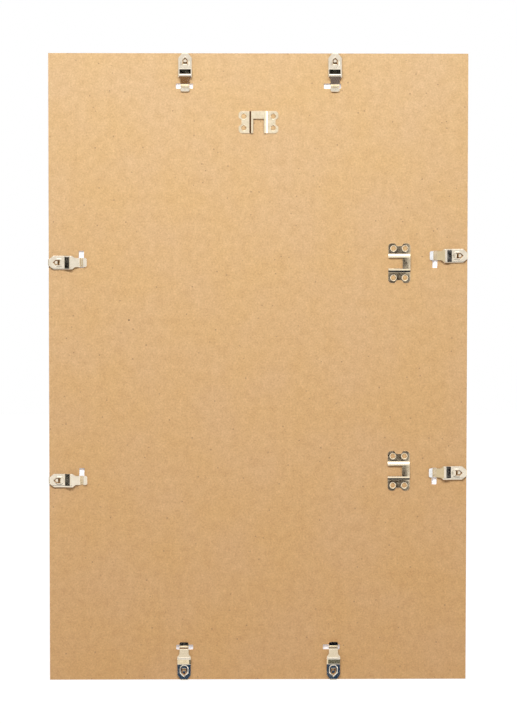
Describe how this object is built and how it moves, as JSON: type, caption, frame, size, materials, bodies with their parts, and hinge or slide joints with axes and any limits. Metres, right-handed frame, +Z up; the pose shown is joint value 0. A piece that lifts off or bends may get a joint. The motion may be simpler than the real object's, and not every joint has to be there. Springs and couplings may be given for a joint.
{
  "type": "clip frame",
  "caption": "Frameless picture frame: glass, insert and hardboard back held together by spring clips round the edges, with toothed hanger plates on the back.",
  "frame": {"origin": "nail seat of the top hanger: the middle notch of its toothed bar, on the back face of the hardboard", "axes": "+Z up in portrait format, +Y out of the hardboard back towards the wall, -Y out of the glass towards the viewer, +X to the left as seen from the back"},
  "size_m": [0.4012, 0.0113, 0.6012],
  "materials": {
    "glass": "clear float glass, polished faces, ground edges",
    "insert_paper": "matt white paper",
    "hardboard": "smooth hardboard with a soft sheen and fine fibre flecks",
    "spring_steel": "bright nickel plate",
    "hanger_steel": "bright nickel plate on thin pressed steel"
  },
  "bodies": {
    "frame": {"glass_pane": "glass", "insert_sheet": "insert_paper", "backboard": "hardboard", "hanger_top": "hanger_steel", "hanger_side_upper": "hanger_steel", "hanger_side_lower": "hanger_steel"},
    "clip_top_left": {"clip_top_left": "spring_steel"},
    "clip_top_right": {"clip_top_right": "spring_steel"},
    "clip_bottom_left": {"clip_bottom_left": "spring_steel"},
    "clip_bottom_right": {"clip_bottom_right": "spring_steel"},
    "clip_left_upper": {"clip_left_upper": "spring_steel"},
    "clip_left_lower": {"clip_left_lower": "spring_steel"},
    "clip_right_upper": {"clip_right_upper": "spring_steel"},
    "clip_right_lower": {"clip_right_lower": "spring_steel"}
  },
  "joints": [
    {"name": "top_left_release", "type": "hinge", "parent": "frame", "child": "clip_top_left", "pos_m": [0.06992, -0.0058, 0.0574], "axis": [1, 0, 0], "range_deg": [0, 28], "stiffness_Nm_per_rad": 0.03, "springref_deg": -20.05},
    {"name": "top_right_release", "type": "hinge", "parent": "frame", "child": "clip_top_right", "pos_m": [-0.07288, -0.0058, 0.0574], "axis": [1, 0, 0], "range_deg": [0, 28], "stiffness_Nm_per_rad": 0.03, "springref_deg": -20.05},
    {"name": "bottom_left_release", "type": "hinge", "parent": "frame", "child": "clip_bottom_left", "pos_m": [0.07115, -0.0058, -0.5336], "axis": [-1, 0, 0], "range_deg": [0, 28], "stiffness_Nm_per_rad": 0.03, "springref_deg": -20.05},
    {"name": "bottom_right_release", "type": "hinge", "parent": "frame", "child": "clip_bottom_right", "pos_m": [-0.07244, -0.0058, -0.5336], "axis": [-1, 0, 0], "range_deg": [0, 28], "stiffness_Nm_per_rad": 0.03, "springref_deg": -20.05},
    {"name": "left_upper_release", "type": "hinge", "parent": "frame", "child": "clip_left_upper", "pos_m": [0.1955, -0.0058, -0.13712], "axis": [0, 0, -1], "range_deg": [0, 28], "stiffness_Nm_per_rad": 0.03, "springref_deg": -20.05},
    {"name": "left_lower_release", "type": "hinge", "parent": "frame", "child": "clip_left_lower", "pos_m": [0.1955, -0.0058, -0.3457], "axis": [0, 0, -1], "range_deg": [0, 28], "stiffness_Nm_per_rad": 0.03, "springref_deg": -20.05},
    {"name": "right_upper_release", "type": "hinge", "parent": "frame", "child": "clip_right_upper", "pos_m": [-0.1955, -0.0058, -0.1305], "axis": [0, 0, 1], "range_deg": [0, 28], "stiffness_Nm_per_rad": 0.03, "springref_deg": -20.05},
    {"name": "right_lower_release", "type": "hinge", "parent": "frame", "child": "clip_right_lower", "pos_m": [-0.1955, -0.0058, -0.33879], "axis": [0, 0, 1], "range_deg": [0, 28], "stiffness_Nm_per_rad": 0.03, "springref_deg": -20.05}
  ]
}
